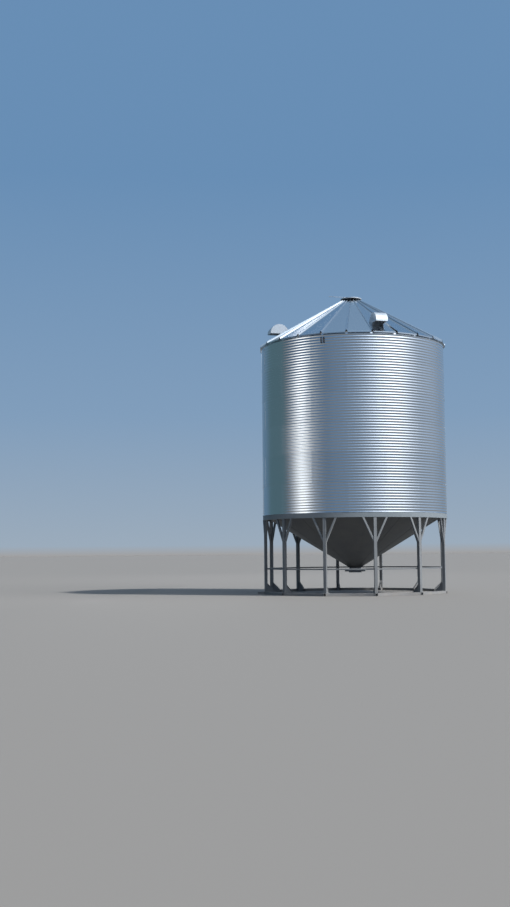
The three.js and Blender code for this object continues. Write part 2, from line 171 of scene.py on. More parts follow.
class Tree:
    """Adds nodes to a tree, each with its settings first and then its inputs."""

    def __init__(self, group):
        self.group = group

    def add(self, kind, settings=None, inputs=None):
        node = self.group.nodes.new(kind)
        for name, value in (settings or {}).items():
            if name == "stops":
                self.set_stops(node.color_ramp, value)
            else:
                setattr(node, name, value)
        listed = enumerate(inputs) if isinstance(inputs, list) else (inputs or {}).items()
        for key, value in listed:
            for one in value if isinstance(value, list) else [value]:
                if isinstance(one, Value):
                    self.group.links.new(one.socket, node.inputs[key])
                else:
                    node.inputs[key].default_value = one
        return Value(self, node.outputs[0]) if node.outputs else node

    def set_stops(self, ramp, stops):
        while len(ramp.elements) < len(stops):
            ramp.elements.new(0.5)
        for element, (position, shade) in zip(ramp.elements, stops):
            element.position = position
            element.color = (*shade, 1)

    def part(self, value, output):
        """Another output of the node that a value comes from."""
        return Value(self, value.socket.node.outputs[output])

    def split(self, vector):
        first = self.add("ShaderNodeSeparateXYZ", None, [vector])
        return first, self.part(first, 1), self.part(first, 2)

    def vector(self, x, y, z):
        return self.add("ShaderNodeCombineXYZ", None, [x, y, z])

    def scale(self, vector, amount):
        """A vector or colour times a number."""
        inputs = {0: vector, "Scale": amount}
        return self.add("ShaderNodeVectorMath", {"operation": "SCALE"}, inputs)

    def blend(self, amount, first, second):
        """Mixes two colours by an amount."""
        inputs = {0: amount, 6: first, 7: second}
        mixed = self.add("ShaderNodeMix", {"data_type": "RGBA"}, inputs)
        return self.part(mixed, 2)

    def limit(self, value, low, high, to_low=0.0, to_high=1.0):
        """Maps a value from one range to another and stops at both ends."""
        inputs = [value, low, high, to_low, to_high]
        return self.add("ShaderNodeMapRange", {"clamp": True}, inputs)


# Making geometry


def placed(name, mesh):
    """Puts a mesh in the scene as an object."""
    piece = bpy.data.objects.new(name, mesh)
    bpy.context.scene.collection.objects.link(piece)
    return piece


def frozen(piece):
    """What a piece's modifiers make, as a plain mesh."""
    evaluated = piece.evaluated_get(bpy.context.evaluated_depsgraph_get())
    return bpy.data.meshes.new_from_object(evaluated)


def mesh_of(name, work):
    """Ends the work on a mesh and gives it a name."""
    mesh = bpy.data.meshes.new(name)
    work.to_mesh(mesh)
    work.free()
    return mesh


def settle(piece, slot, *nodes):
    """Makes a piece part of the silo: it rides with it and stands for its CAD nodes."""
    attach(piece, "root")
    if nodes:
        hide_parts(*nodes)


def growing(name, numbers, counts):
    """A new geometry tree with named number and count inputs; returns the tree and its inputs."""
    group = bpy.data.node_groups.new(name, "GeometryNodeTree")
    kinds = {label: "NodeSocketFloat" for label in numbers}
    kinds.update({label: "NodeSocketInt" for label in counts})
    for label, kind in kinds.items():
        group.interface.new_socket(label, in_out="INPUT", socket_type=kind)
    group.interface.new_socket("Geometry", in_out="OUTPUT", socket_type="NodeSocketGeometry")
    tree = Tree(group)
    source = group.nodes.new("NodeGroupInput")
    return tree, {label: Value(tree, source.outputs[label]) for label in kinds}


def close(tree, geometry, finish):
    """Ends a geometry tree: whole mesh, one material, output."""
    real = tree.add("GeometryNodeRealizeInstances", None, [geometry])
    inputs = {"Geometry": real, "Material": finish}
    coloured = tree.add("GeometryNodeSetMaterial", None, inputs)
    tree.add("NodeGroupOutput", None, [coloured])
    return tree.group


def set_at(tree, geometry, where):
    return tree.add("GeometryNodeSetPosition", None, {"Geometry": geometry, "Position": where})


def merged(tree, mesh, distance):
    inputs = {"Geometry": mesh, "Distance": distance}
    return tree.add("GeometryNodeMergeByDistance", None, inputs)


def round_silo(tree, radius, bearing, height):
    """A point at a bearing round the silo, at a radius and a height."""
    x = radius * bearing.work("SINE")
    return tree.vector(x, -(radius * bearing.work("COSINE")), height)


def grow(name, group, sizes):
    """Runs a geometry tree with its sizes and keeps what it makes as a plain mesh object."""
    piece = placed(name, bpy.data.meshes.new(name))
    modifier = piece.modifiers.new("grow", "NODES")
    modifier.node_group = group
    for item in group.interface.items_tree:
        if item.name in sizes:
            modifier[item.identifier] = sizes[item.name]
    bpy.context.view_layer.update()
    mesh = frozen(piece)
    piece.modifiers.remove(modifier)
    piece.data = mesh
    mesh.name = name
    return piece


def smooth_sheet(tree, mesh, angle):
    """Smooth shading with the folds above an angle kept crisp."""
    smooth = tree.add("GeometryNodeSetShadeSmooth", {"domain": "FACE"}, [mesh, True, True])
    bend = tree.add("GeometryNodeInputMeshEdgeAngle")
    inputs = [smooth, bend > angle, False]
    return tree.add("GeometryNodeSetShadeSmooth", {"domain": "EDGE"}, inputs)


def thicken(tree, sheet, thickness):
    """Gives a sheet a back and rims: the back is the sheet turned over, the front stands off it."""
    inputs = {"Mesh": sheet, "Offset Scale": thickness, "Individual": False}
    front = tree.add("GeometryNodeExtrudeMesh", {"mode": "FACES"}, inputs)
    back = tree.add("GeometryNodeFlipFaces", None, [sheet])
    both = tree.add("GeometryNodeJoinGeometry", None, [[back, front]])
    return merged(tree, both, SAME_POINT)


def rounded(node, finish, edge, segments=2):
    """A copy of a CAD node with its edges rounded, as rolled and welded steel has them."""
    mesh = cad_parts[node].data.copy()
    mesh.name = node + "_shape"
    work = bmesh.new()
    work.from_mesh(mesh)
    bmesh.ops.remove_doubles(work, verts=work.verts, dist=SAME_POINT)
    flat = math.radians(0.5)
    bmesh.ops.dissolve_limit(work, angle_limit=flat, verts=work.verts, edges=work.edges)
    for face in work.faces:
        face.smooth = True
    work.to_mesh(mesh)
    work.free()
    mesh.materials.clear()
    mesh.materials.append(finish)
    piece = placed(node + "_made", mesh)
    bevel = piece.modifiers.new("edges", "BEVEL")
    bevel.width = edge
    bevel.segments = segments
    bevel.limit_method = "ANGLE"
    bevel.angle_limit = BEVEL_ANGLE
    bevel.use_clamp_overlap = True
    shaped = frozen(piece)
    shaped.set_sharp_from_angle(angle=CRISP_ANGLE)
    piece.modifiers.clear()
    piece.data = shaped
    return piece


def bead(work, points, radius, sides=6):
    """A round bead or rod along a line of points, closed at both ends."""
    points = [Vector(point) for point in points]
    angles = [2 * math.pi * k / sides for k in range(sides)]
    rings = []
    for i, point in enumerate(points):
        along = (points[min(i + 1, len(points) - 1)] - points[max(i - 1, 0)]).normalized()
        aside = along.orthogonal() if i == 0 else aside - along * aside.dot(along)
        aside = aside.normalized()
        up = along.cross(aside)
        around = [(aside * math.cos(a) + up * math.sin(a)) * radius for a in angles]
        rings.append([work.verts.new(point + spoke) for spoke in around])
    for near, far in zip(rings, rings[1:]):
        for k in range(sides):
            after = (k + 1) % sides
            work.faces.new((near[k], near[after], far[after], far[k]))
    work.faces.new(list(reversed(rings[0])))
    work.faces.new(rings[-1])


def made(name, work, finish):
    """Ends a hand-built mesh and puts it in the scene."""
    for face in work.faces:
        face.smooth = True
    mesh = mesh_of(name, work)
    mesh.set_sharp_from_angle(angle=FOLD_ANGLE)
    mesh.materials.append(finish)
    return placed(name, mesh)


def turned(name, mesh, angle):
    """A copy of a shape turned round the silo."""
    copy = mesh.copy()
    copy.name = name
    copy.transform(Matrix.Rotation(angle, 4, "Z"))
    return placed(name, copy)


def only_shape(piece):
    """Takes a piece out of the scene and keeps its mesh."""
    mesh = piece.data
    bpy.data.objects.remove(piece)
    return mesh


def outward(bearing):
    """Level unit vector at a bearing, which starts at the front and goes to the right."""
    return Vector((math.sin(bearing), -math.cos(bearing), 0))


# Finishes


def empty_material(name):
    """A new material with no nodes, and its tree."""
    material = bpy.data.materials.new(name)
    material.use_nodes = True
    material.node_tree.nodes.clear()
    return material, Tree(material.node_tree)


def make_finish(name, paint, metallic):
    """A material whose colour, roughness and bump come from a paint function."""
    material, tree = empty_material(name)
    place = tree.part(tree.add("ShaderNodeTexCoord"), "Object")
    look = {"Metallic": metallic}
    look.update(paint(tree, place))
    surface = tree.add("ShaderNodeBsdfPrincipled", None, look)
    tree.add("ShaderNodeOutputMaterial", None, {"Surface": surface})
    return material


def noise(tree, place, scale, detail=3.0, roughness=0.55, stretch=None):
    """Soft cloudy noise; a stretch draws it out along an axis."""
    if stretch:
        place = tree.add("ShaderNodeMapping", None, {"Vector": place, "Scale": stretch})
    inputs = {"Vector": place, "Scale": scale, "Detail": detail, "Roughness": roughness}
    return tree.add("ShaderNodeTexNoise", None, inputs)


def bump(tree, height, strength, distance):
    inputs = {"Height": height, "Strength": strength, "Distance": distance}
    return tree.add("ShaderNodeBump", None, inputs)


def bearing_and_height(tree, place):
    """Where a point is: round the silo, in whole turns from the front, and its height."""
    x, y, z = tree.split(place)
    return x.work("ARCTAN2", -y) / (2 * math.pi), z


def zinc_spangle(tree, place, size):
    """The crystals of hot-dip zinc: one random number for each crystal."""
    cells = tree.add("ShaderNodeTexVoronoi", None, {"Vector": place, "Scale": 1 / size})
    return tree.split(tree.part(cells, "Color"))[0]


def wall_zinc(tree, place):
    """Galvanised wall sheets: crystals, sheet to sheet differences, rain streaks and dust."""
    bearing, height = bearing_and_height(tree, place)
    climb = (height - WALL_BOTTOM) / TIER_HEIGHT
    tier = climb.work("FLOOR")
    sheet = (bearing * SHEETS + (tier % 2) * 0.5).work("FLOOR")
    pick = tree.vector(sheet % SHEETS, tier, 0.5)
    tone = tree.add("ShaderNodeTexWhiteNoise", {"noise_dimensions": "3D"}, {"Vector": pick})
    crystal = zinc_spangle(tree, place, 0.022)
    cloud = noise(tree, place, 0.9, 4.0)
    streak = tree.limit(noise(tree, place, 5.0, 3.0, 0.6, (1, 1, 0.05)), 0.45, 0.75)
    dust = tree.limit(climb - tier, 0.0, 0.12, 1.0, 0.0) * tree.limit(cloud, 0.4, 0.7)
    base = tree.blend(tone, (0.60, 0.635, 0.67, 1), (0.64, 0.67, 0.70, 1))
    base = tree.blend(crystal * 0.06, base, (0.70, 0.73, 0.76, 1))
    base = tree.blend(streak * 0.12, base, (0.50, 0.54, 0.58, 1))
    base = tree.blend(dust * 0.12, base, (0.45, 0.43, 0.40, 1))
    shine = 0.16 + crystal * 0.02 + tone * 0.02 + streak * 0.04 + dust * 0.06
    dents = noise(tree, place, 1.0, 1.0, 0.4, (1, 1, 0.35))
    return {"Base Color": base, "Roughness": shine, "Normal": bump(tree, dents, 0.12, 0.01)}


def roof_zinc(tree, place):
    """Galvanised roof panels: crystals, rain streaks down the slope and slight oil-canning."""
    bearing, height = bearing_and_height(tree, place)
    panel = (bearing * PANELS + 2 * PANELS).work("FLOOR")
    tone = tree.add("ShaderNodeTexWhiteNoise", {"noise_dimensions": "1D"}, {"W": panel})
    crystal = zinc_spangle(tree, place, 0.022)
    swing = bearing * 120
    around = tree.vector(swing.work("SINE"), swing.work("COSINE"), height * 0.4)
    streak = tree.limit(noise(tree, around, 3.0), 0.45, 0.8)
    base = tree.blend(tone, (0.62, 0.65, 0.68, 1), (0.67, 0.70, 0.72, 1))
    base = tree.blend(crystal * 0.15, base, (0.74, 0.77, 0.80, 1))
    base = tree.blend(streak * 0.2, base, (0.50, 0.54, 0.58, 1))
    shine = 0.17 + crystal * 0.03 + tone * 0.03 + streak * 0.04
    dents = noise(tree, place, 1.6, 2.0) + crystal * 0.01
    return {"Base Color": base, "Roughness": shine, "Normal": bump(tree, dents, 0.1, 0.012)}


def small_zinc(tree, place):
    """Galvanised small parts, duller than the sheets."""
    crystal = zinc_spangle(tree, place, 0.015)
    cloud = noise(tree, place, 7.0, 4.0)
    base = tree.blend(crystal * 0.3, (0.56, 0.6, 0.64, 1), (0.68, 0.72, 0.76, 1))
    base = tree.blend(tree.limit(cloud, 0.5, 0.75) * 0.35, base, (0.45, 0.46, 0.47, 1))
    shine = 0.32 + cloud * 0.12
    return {"Base Color": base, "Roughness": shine, "Normal": bump(tree, cloud, 0.2, 0.002)}


def weathered_paint(main, shade, dust_top):
    """Grey enamel on steel: orange peel, faded patches, scratches, and dust near the ground."""

    def paint(tree, place):
        z = tree.split(place)[2]
        cloud = noise(tree, place, 1.7, 5.0)
        grain = noise(tree, place, 220.0, 2.0)
        scuff = tree.limit(noise(tree, place, 14.0, 6.0, 0.7), 0.62, 0.72)
        patches = tree.limit(noise(tree, place, 4.0, 5.0), 0.35, 0.7)
        dust = tree.limit(z, 0.0, dust_top, 1.0, 0.0) * patches
        base = tree.blend(tree.limit(cloud, 0.35, 0.7), (*main, 1), (*shade, 1))
        base = tree.blend(scuff * 0.25, base, (0.24, 0.245, 0.25, 1))
        base = tree.blend(dust * 0.45, base, (0.22, 0.20, 0.175, 1))
        shine = 0.42 + cloud * 0.12 + dust * 0.3
        peel = grain * 0.4 + scuff * 0.4 + cloud
        return {"Base Color": base, "Roughness": shine, "Normal": bump(tree, peel, 0.12, 0.002)}

    return paint


def near_black_painted_shade(tree, place):
    """Near black: painted shade, for the shadow under the lid on the fill collar and under the eave
    on the bracket's ends.
    """
    cloud = noise(tree, place, 90.0)
    base = tree.blend(cloud, (0.012, 0.014, 0.018, 1), (0.03, 0.033, 0.038, 1))
    return {"Base Color": base, "Roughness": 0.7, "Normal": bump(tree, cloud, 0.1, 0.001)}


stand_grey = weathered_paint((0.112, 0.119, 0.127), (0.13, 0.138, 0.145), 0.5)
band_grey = weathered_paint((0.122, 0.143, 0.16), (0.14, 0.16, 0.176), 0.1)
skid_grey = weathered_paint((0.133, 0.136, 0.14), (0.155, 0.157, 0.16), 0.5)
# The hopper's grey is far darker than the stand's: painted shade, for the shade the cone hangs in
# above shadowed ground
hopper_painted_shade_grey = weathered_paint((0.052, 0.054, 0.057), (0.075, 0.075, 0.073), 0.1)

wall_sheet = make_finish("wall_galvanised", wall_zinc, 1.0)
roof_sheet = make_finish("roof_galvanised", roof_zinc, 1.0)
fitting = make_finish("small_galvanised", small_zinc, 0.75)
painted_shade_black = make_finish("near_black_painted_shade", near_black_painted_shade, 0.0)
stand_paint = make_finish("stand_grey_paint", stand_grey, 0.0)
band_paint = make_finish("band_grey_paint", band_grey, 0.0)
skid_paint = make_finish("skid_grey_paint", skid_grey, 0.0)
cone_paint = make_finish("hopper_painted_shade_grey_paint", hopper_painted_shade_grey, 0.0)


# Corrugated wall


def corrugated_tier():
    """One tier of lapped corrugated sheets, drawn as a grid that is bent round the silo."""
    numbers = ["Radius", "Bottom", "Pitch", "Depth", "Lap", "Turn", "Thickness", "Dent", "Phase"]
    tree, size = growing("corrugated_tier", numbers, ["Waves", "Sheets"])
    columns = size["Sheets"] * SHEET_STEPS + 1
    rows = size["Waves"] * WAVE_STEPS + 1
    inputs = {"Size X": 1.0, "Size Y": 1.0, "Vertices X": columns, "Vertices Y": rows}
    grid = tree.add("GeometryNodeMeshGrid", None, inputs)
    across, up, _ = tree.split(tree.add("GeometryNodeInputPosition"))
    along = (across + 0.5) * size["Sheets"] + SEAM_GAP
    sheet = along.work("FLOOR")
    inside = (along - sheet - SEAM_GAP) * (SHEET_STEPS / (SHEET_STEPS - 1))
    inside = inside.work("MINIMUM", 1 - SEAM_GAP / 2)
    bearing = (sheet + inside) / size["Sheets"] * (2 * math.pi) + size["Turn"]
    height = (up + 0.5) * size["Waves"]
    wave = (height * (2 * math.pi)).work("COSINE") * size["Depth"] * 0.5
    wide = (bearing * 5 + size["Phase"] * 3).work("SINE")
    dent = (bearing * 11 + size["Phase"]).work("SINE") + wide
    radius = size["Radius"] + wave + (inside + 0.5 - up) * size["Lap"] - size["Thickness"] * 0.5
    radius = radius + dent * size["Dent"]
    where = round_silo(tree, radius, bearing, size["Bottom"] + height * size["Pitch"])
    joined = merged(tree, set_at(tree, grid, where), GRID_JOIN)
    shell = thicken(tree, joined, size["Thickness"])
    return close(tree, smooth_sheet(tree, shell, 0.7), wall_sheet)


def disc(tree, sides, radius, depth):
    """A closed prism with flat ends."""
    inputs = {"Vertices": sides, "Radius": radius, "Depth": depth}
    return tree.add("GeometryNodeMeshCylinder", {"fill_type": "NGON"}, inputs)


def bolt(tree, head, washer):
    """A hexagon head on its washer, standing along +Z."""
    cap = disc(tree, 6, head, head * 0.75)
    inputs = {"Geometry": cap, "Translation": tree.vector(0, 0, head * 0.6)}
    cap = tree.add("GeometryNodeTransform", None, inputs)
    return tree.add("GeometryNodeJoinGeometry", None, [[cap, disc(tree, 10, washer, head * 0.5)]])


def ring_of_bolts():
    """Rows of bolts round the silo: pairs of columns at the sheet seams, or one even row."""
    numbers = ["Radius", "Bottom", "Row step", "Row inset", "Turn", "Pair gap"]
    numbers += ["Head", "Washer", "Tilt"]
    tree, size = growing("ring_of_bolts", numbers, ["Places", "Rows", "Columns"])
    count = size["Places"] * size["Rows"] * size["Columns"]
    points = tree.add("GeometryNodePoints", None, {"Count": count})
    index = tree.add("GeometryNodeInputIndex")
    row = index % size["Rows"]
    column = (index / size["Rows"]).work("FLOOR") % size["Columns"]
    seam = (index / (size["Rows"] * size["Columns"])).work("FLOOR")
    offset = (column - (size["Columns"] - 1) * 0.5) * size["Pair gap"] / size["Radius"]
    bearing = seam / size["Places"] * (2 * math.pi) + size["Turn"] + offset
    radius = size["Radius"] - row * size["Row inset"]
    height = size["Bottom"] + row * size["Row step"]
    spots = set_at(tree, points, round_silo(tree, radius, bearing, height))
    facing = tree.vector(math.pi / 2 + size["Tilt"], 0, bearing)
    facing = tree.add("FunctionNodeEulerToRotation", None, [facing])
    head = bolt(tree, size["Head"], size["Washer"])
    inputs = {"Points": spots, "Instance": head, "Rotation": facing}
    return close(tree, tree.add("GeometryNodeInstanceOnPoints", None, inputs), wall_sheet)


tier_shape = corrugated_tier()
bolt_rows = ring_of_bolts()
for tier in range(TIERS):
    sheets = {
        "Radius": WALL_RADIUS,
        "Bottom": WALL_BOTTOM + tier * TIER_HEIGHT,
        "Pitch": WAVE_PITCH,
        "Depth": WAVE_DEPTH - SHEET_THICKNESS,
        "Lap": SHEET_LAP,
        "Turn": (tier % 2) * math.pi / SHEETS,
        "Thickness": SHEET_THICKNESS,
        "Dent": SHEET_DENT,
        "Phase": tier * 2.4,
        "Waves": WAVES,
        "Sheets": SHEETS,
    }
    tier_piece = grow(f"corrugated_tier_{tier + 1}", tier_shape, sheets)
    settle(tier_piece, "galvanised", f"wall_tier_{tier + 1}")
    seam = {
        "Radius": WALL_RADIUS + WAVE_DEPTH / 2,
        "Bottom": sheets["Bottom"],
        "Row step": WAVE_PITCH,
        "Row inset": 0.0,
        "Turn": sheets["Turn"] - BOLTS_BACK,
        "Pair gap": 0.05,
        "Head": 0.0075,
        "Washer": 0.011,
        "Tilt": 0.0,
        "Places": SHEETS,
        "Rows": WAVES + 1,
        "Columns": 2,
    }
    settle(grow(f"seam_bolts_{tier + 1}", bolt_rows, seam), "galvanised")
    lap = {**seam, "Turn": 0.0, "Pair gap": 0.0, "Places": LAP_BOLTS, "Rows": 1, "Columns": 1}
    settle(grow(f"lap_bolts_{tier + 1}", bolt_rows, lap), "galvanised")


# Ribbed roof


def roof_point(rib, across, up, radius):
    """A point on the roof: beside a rib and above the pan, at a radius measured along the rib."""
    scale = (radius + RIB_VANISH) / (EAVE_RADIUS + RIB_VANISH)
    bearing = 2 * math.pi * rib / PANELS
    height = EAVE_HEIGHT + (EAVE_RADIUS - radius) * ROOF_RISE
    x = radius * math.sin(bearing) + across * scale * math.cos(bearing)
    y = -radius * math.cos(bearing) + across * scale * math.sin(bearing)
    return Vector((x, y, height + up * scale))


def roof_panels(name, first, count):
    """Folded panels side by side: a pan between two ribs, with a lip turned down at the eave."""
    work = bmesh.new()
    rows = []
    for step in range(PANEL_STEPS + 1):
        radius = SHEET_EDGE - (SHEET_EDGE - ROOF_INNER) * step / PANEL_STEPS
        points = []
        for rib in range(first, first + count):
            points += [roof_point(rib, along, up, radius) for along, up in RIB_SHAPE]
        points.append(roof_point(first + count, RIB_SHAPE[0][0], 0, radius))
        rows.append([work.verts.new(point) for point in points])
    for near, far in zip(rows, rows[1:]):
        for i in range(len(near) - 1):
            work.faces.new((near[i], near[i + 1], far[i + 1], far[i]))
    for panel in range(count):
        right = len(RIB_SHAPE) * (panel + 1)
        top = [rows[0][right - 1], rows[0][right]]
        out = Vector((top[0].co.x + top[1].co.x, top[0].co.y + top[1].co.y, 0)).normalized()
        out = out * LIP_FOLD * 0.7
        bend = [work.verts.new(v.co + out - Vector((0, 0, LIP_FOLD))) for v in top]
        foot = [work.verts.new(v.co + out - Vector((0, 0, EAVE_LIP))) for v in top]
        work.faces.new((bend[0], bend[1], top[1], top[0]))
        work.faces.new((foot[0], foot[1], bend[1], bend[0]))
    mesh = mesh_of(name, work)
    mesh.materials.append(roof_sheet)
    piece = placed(name, mesh)
    solid = piece.modifiers.new("sheet", "SOLIDIFY")
    solid.thickness = ROOF_THICKNESS
    solid.offset = -1
    shaped = frozen(piece)
    piece.modifiers.clear()
    piece.data = shaped
    return piece


share = PANELS // SECTIONS
for section in range(SECTIONS):
    panels = roof_panels(f"roof_panels_{section + 1}", share * section, share)
    settle(panels, "roof_sheet", f"roof_section_{section + 1}")

# The ribs get lower towards the peak, so the rows rise a little less than the roof does
rib_screws = {
    "Radius": 3.6,
    "Bottom": 9.8668,
    "Row step": 0.34192,
    "Row inset": 0.6,
    "Turn": 0.0,
    "Pair gap": 0.0,
    "Head": 0.0042,
    "Washer": 0.0065,
    "Tilt": math.radians(-60),
    "Places": PANELS,
    "Rows": 6,
    "Columns": 1,
}
settle(grow("rib_screws", bolt_rows, rib_screws), "galvanised")
lip_screws = {
    **rib_screws,
    "Radius": 3.6777,
    "Bottom": EAVE_HEIGHT - 0.026,
    "Turn": math.pi / PANELS,
    "Pair gap": 0.5,
    "Tilt": 0.0,
    "Rows": 1,
    "Columns": 2,
}
settle(grow("lip_screws", bolt_rows, lip_screws), "galvanised")


# Roof vents, peak, bracket


def hood_rivets():
    """Two rows of rivets over a drum that lies across the roof's slope."""
    numbers = ["Out", "Height", "Drum", "Half width", "From", "Step", "Head", "Turn"]
    tree, size = growing("hood_rivets", numbers, ["Count"])
    points = tree.add("GeometryNodePoints", None, {"Count": size["Count"] * 2})
    index = tree.add("GeometryNodeInputIndex")
    side = (index / size["Count"]).work("FLOOR") * 2 - 1
    angle = size["From"] + (index % size["Count"]) * size["Step"]
    out = size["Out"] + size["Drum"] * angle.work("COSINE")
    height = size["Height"] + size["Drum"] * angle.work("SINE")
    spots = set_at(tree, points, tree.vector(side * size["Half width"], -out, height))
    inputs = {"Segments": 8, "Rings": 6, "Radius": size["Head"]}
    head = tree.add("GeometryNodeMeshUVSphere", None, inputs)
    head = tree.add("GeometryNodeSetShadeSmooth", {"domain": "FACE"}, [head, True, True])
    inputs = {"Points": spots, "Instance": head}
    studded = tree.add("GeometryNodeInstanceOnPoints", None, inputs)
    inputs = {"Geometry": studded, "Rotation": tree.vector(0, 0, size["Turn"])}
    return close(tree, tree.add("GeometryNodeTransform", None, inputs), fitting)


def hood_trim(bearing):
    """A rolled rim at the hood's mouth, and a wire screen across it."""
    half = HOOD_HALF - 0.012
    near, far = HOOD_OUT - 0.145, HOOD_OUT + HOOD_DRUM - 0.012
    rim_side = HOOD_OUT + HOOD_DRUM - 0.004
    screen = HOOD_HEIGHT + 0.012
    cross_screen = HOOD_HEIGHT + 0.0135
    down, across = 18, 20
    work = bmesh.new()
    rim = [(-half, -rim_side, HOOD_HEIGHT), (half, -rim_side, HOOD_HEIGHT)]
    bead(work, rim, 0.006, 8)
    for i in range(down + 1):
        x = -half + 2 * half * i / down
        bead(work, [(x, -near, screen), (x, -far, screen)], SCREEN_WIRE, 4)
    for i in range(across + 1):
        y = near + (far - near) * i / across
        bead(work, [(-half, -y, cross_screen), (half, -y, cross_screen)], SCREEN_WIRE, 4)
    trim = made(f"hood_trim_{bearing:.0f}", work, fitting)
    trim.data.transform(Matrix.Rotation(math.radians(bearing), 4, "Z"))
    return trim


rivet_rows = hood_rivets()
for bearing in VENT_BEARINGS:
    rivets = {
        "Out": HOOD_OUT,
        "Height": HOOD_HEIGHT,
        "Drum": HOOD_DRUM,
        "Half width": HOOD_HALF - 0.014,
        "From": math.radians(8),
        "Step": math.radians(15.5),
        "Head": 0.004,
        "Turn": math.radians(bearing),
        "Count": RIVETS,
    }
    settle(grow(f"hood_rivets_{bearing:.0f}", rivet_rows, rivets), "galvanised")
    settle(hood_trim(bearing), "galvanised")
for number in range(1, len(VENT_BEARINGS) + 1):
    hood = rounded(f"roof_vent_{number}", fitting, 0.002, 1)
    settle(hood, "galvanised", f"roof_vent_{number}")
for node in ["fill_lid", "eave_angle", "gate_plate"]:
    settle(rounded(node, fitting, 0.002), "galvanised", node)
# The fill collar is near black: painted shade under the lid
settle(rounded("fill_collar", painted_shade_black, 0.002), "galvanised", "fill_collar")

# The bracket's ends are near black: painted shade under the eave
bracket = rounded("eave_bracket", painted_shade_black, 0.002)
bracket.data.materials.append(fitting)
bracket_side = Vector((math.cos(BRACKET_BEARING), math.sin(BRACKET_BEARING), 0))
for face in bracket.data.polygons:
    face.material_index = int(abs(face.center.dot(bracket_side)) < BRACKET_BARS)
settle(bracket, "galvanised", "eave_bracket")


def lid_fittings():
    """A grip on the lid's lever, and hinged clamps round the lid's rim."""
    work = bmesh.new()
    bead(work, LEVER_GRIP, 0.014, 10)
    up = Vector((0, 0, 1))
    for angle in range(30, 360, 60):
        side = outward(math.radians(angle))
        clamp = [side * out + up * height for out, height in CLAMP]
        bead(work, clamp, 0.007)
        pin = side.cross(up) * 0.02
        bead(work, [clamp[0] + pin, clamp[0] - pin], 0.009, 8)
    return made("lid_fittings", work, fitting)


settle(lid_fittings(), "galvanised")


# Stand, hopper and skid

leg_shape = only_shape(rounded("leg_01", stand_paint, 0.006))
for number in range(LEGS):
    node = f"leg_{number + 1:02d}"
    leg = turned(node + "_made", leg_shape, 2 * math.pi * number / LEGS)
    settle(leg, "grey_paint", node)
settle(rounded("skid_ring", skid_paint, 0.004), "grey_paint", "skid_ring")
for node in ["tie_ring", "gate_frame", "outlet_spout"]:
    settle(rounded(node, stand_paint, 0.004), "grey_paint", node)
settle(rounded("hopper_band", band_paint, 0.004), "grey_paint", "hopper_band")


def leg_welds():
    """Weld beads of one leg: post to foot and band, braces to post and band, gusset to both."""
    work = bmesh.new()

    def around(left, right, near, far, height):
        corners = [(left, near), (right, near), (right, far), (left, far), (left, near)]
        for (x0, y0), (x1, y1) in zip(corners, corners[1:]):
            bead(work, [(x0, -y0, height), (x1, -y1, height)], WELD)

    around(-POST_HALF, POST_HALF, POST_OUTER, POST_INNER, FOOT_TOP)
    around(-POST_HALF, POST_HALF, POST_OUTER, POST_INNER, BAND_BOTTOM)
    front, back = [POST_OUTER - face for face in BRACE_FACES]
    low, high = BRACE_FOOT
    for side in (-1, 1):
        around(side * BRACE_TOP[0], side * BRACE_TOP[1], front, back, BAND_BOTTOM)
        x = side * POST_HALF
        for y in (-front, -back):
            bead(work, [(x, y, low), (x, y, high)], WELD)
        x = side * GUSSET_HALF
        corner = (x, -POST_INNER, FOOT_TOP)
        bead(work, [corner, (x, GUSSET_REACH - POST_INNER, FOOT_TOP)], WELD)
        bead(work, [corner, (x, -POST_INNER, GUSSET_TOP)], WELD)
    return made("leg_welds", work, stand_paint)


weld_shape = only_shape(leg_welds())
for number in range(LEGS):
    angle = FIRST_LEG + 2 * math.pi * number / LEGS
    settle(turned(f"leg_welds_{number + 1:02d}", weld_shape, angle), "grey_paint")


def hopper_seams():
    """Welded sheet seams down the hopper cone."""
    work = bmesh.new()
    for number in range(SEAMS):
        out = outward(2 * math.pi * (number + 0.5) / SEAMS)
        low = out * 0.235 + Vector((0, 0, 1.012))
        high = out * 3.6 + Vector((0, 0, 3.0485))
        bead(work, [low, high], WELD)
    return made("hopper_seams", work, cone_paint)


settle(hopper_seams(), "cone_paint")
# The cone, its outlet collar and its seams wear the darkened grey, which is painted shade
for node in ["hopper_cone", "outlet_collar"]:
    settle(rounded(node, cone_paint, 0.002, 1), "cone_paint", node)


# Floor and camera

FLOOR_RADIUS = 1800


def floor():
    """A plain pale floor that reaches the horizon."""
    work = bmesh.new()
    bmesh.ops.create_circle(work, cap_ends=True, radius=FLOOR_RADIUS, segments=64)
    mesh = mesh_of("floor", work)
    pale = bpy.data.materials.new("pale_floor")
    pale.use_nodes = True
    shader = pale.node_tree.nodes["Principled BSDF"]
    shader.inputs["Base Color"].default_value = (0.135, 0.13, 0.123, 1)
    shader.inputs["Roughness"].default_value = 0.9
    mesh.materials.append(pale)
    ground = placed("floor", mesh)
    ground.visible_glossy = False


floor()

CAMERA_PLACE = (2.3161, -45.5001, 1.575)
CAMERA_LENS = 45.367
CAMERA_TURN = math.radians(7.85)
CAMERA_RISE = math.radians(5.01)
CAMERA_LEAN = math.radians(-0.49)

